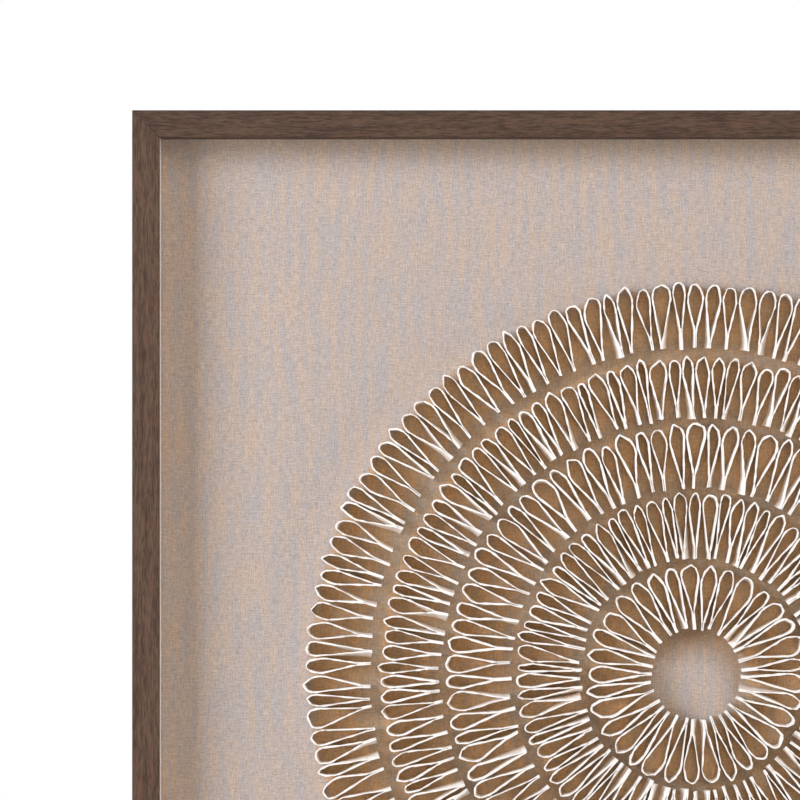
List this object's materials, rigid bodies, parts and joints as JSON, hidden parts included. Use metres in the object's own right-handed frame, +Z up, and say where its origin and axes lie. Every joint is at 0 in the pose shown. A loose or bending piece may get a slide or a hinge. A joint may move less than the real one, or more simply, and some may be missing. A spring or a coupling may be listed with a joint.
{
  "type": "paper shadow box wall art",
  "caption": "Square shadow box with a deep brown mitred frame, a linen-covered board and concentric rings of looped paper strips standing on edge, for hanging on a wall.",
  "frame": {"origin": "middle of the underside of the box that holds the whole part: halfway along the bottom rail's lower edge, halfway through the depth from the frame's front to the wall bumpers", "axes": "+Z up the picture, -Y out of its front towards the viewer, +Y to the wall, +X to the viewer's right"},
  "size_m": [0.65, 0.039, 0.65],
  "materials": {
    "rail_wood": "brown wood grain, satin",
    "linen": "plain weave, matt",
    "paper": "off-white hand-cut strip, matt",
    "board": "fibreboard, matt",
    "hardboard": "hardboard, matt",
    "steel": "zinc plated",
    "hanger_steel": "yellow zinc plated",
    "rubber": "matt"
  },
  "bodies": {
    "root": {"frame_rail_top": "rail_wood", "frame_rail_bottom": "rail_wood", "frame_rail_left": "rail_wood", "frame_rail_right": "rail_wood", "corner_nails": "steel", "linen_cover": "linen", "mount_board": "board", "back_cover": "hardboard", "loop_ring_outer": "paper", "loop_ring_second": "paper", "loop_ring_middle": "paper", "loop_ring_fourth": "paper", "loop_ring_inner": "paper", "retaining_points": "steel", "hanger_left": "hanger_steel", "hanger_right": "hanger_steel", "hanger_nails": "steel", "wall_bumper_left": "rubber", "wall_bumper_right": "rubber"}
  },
  "joints": []
}
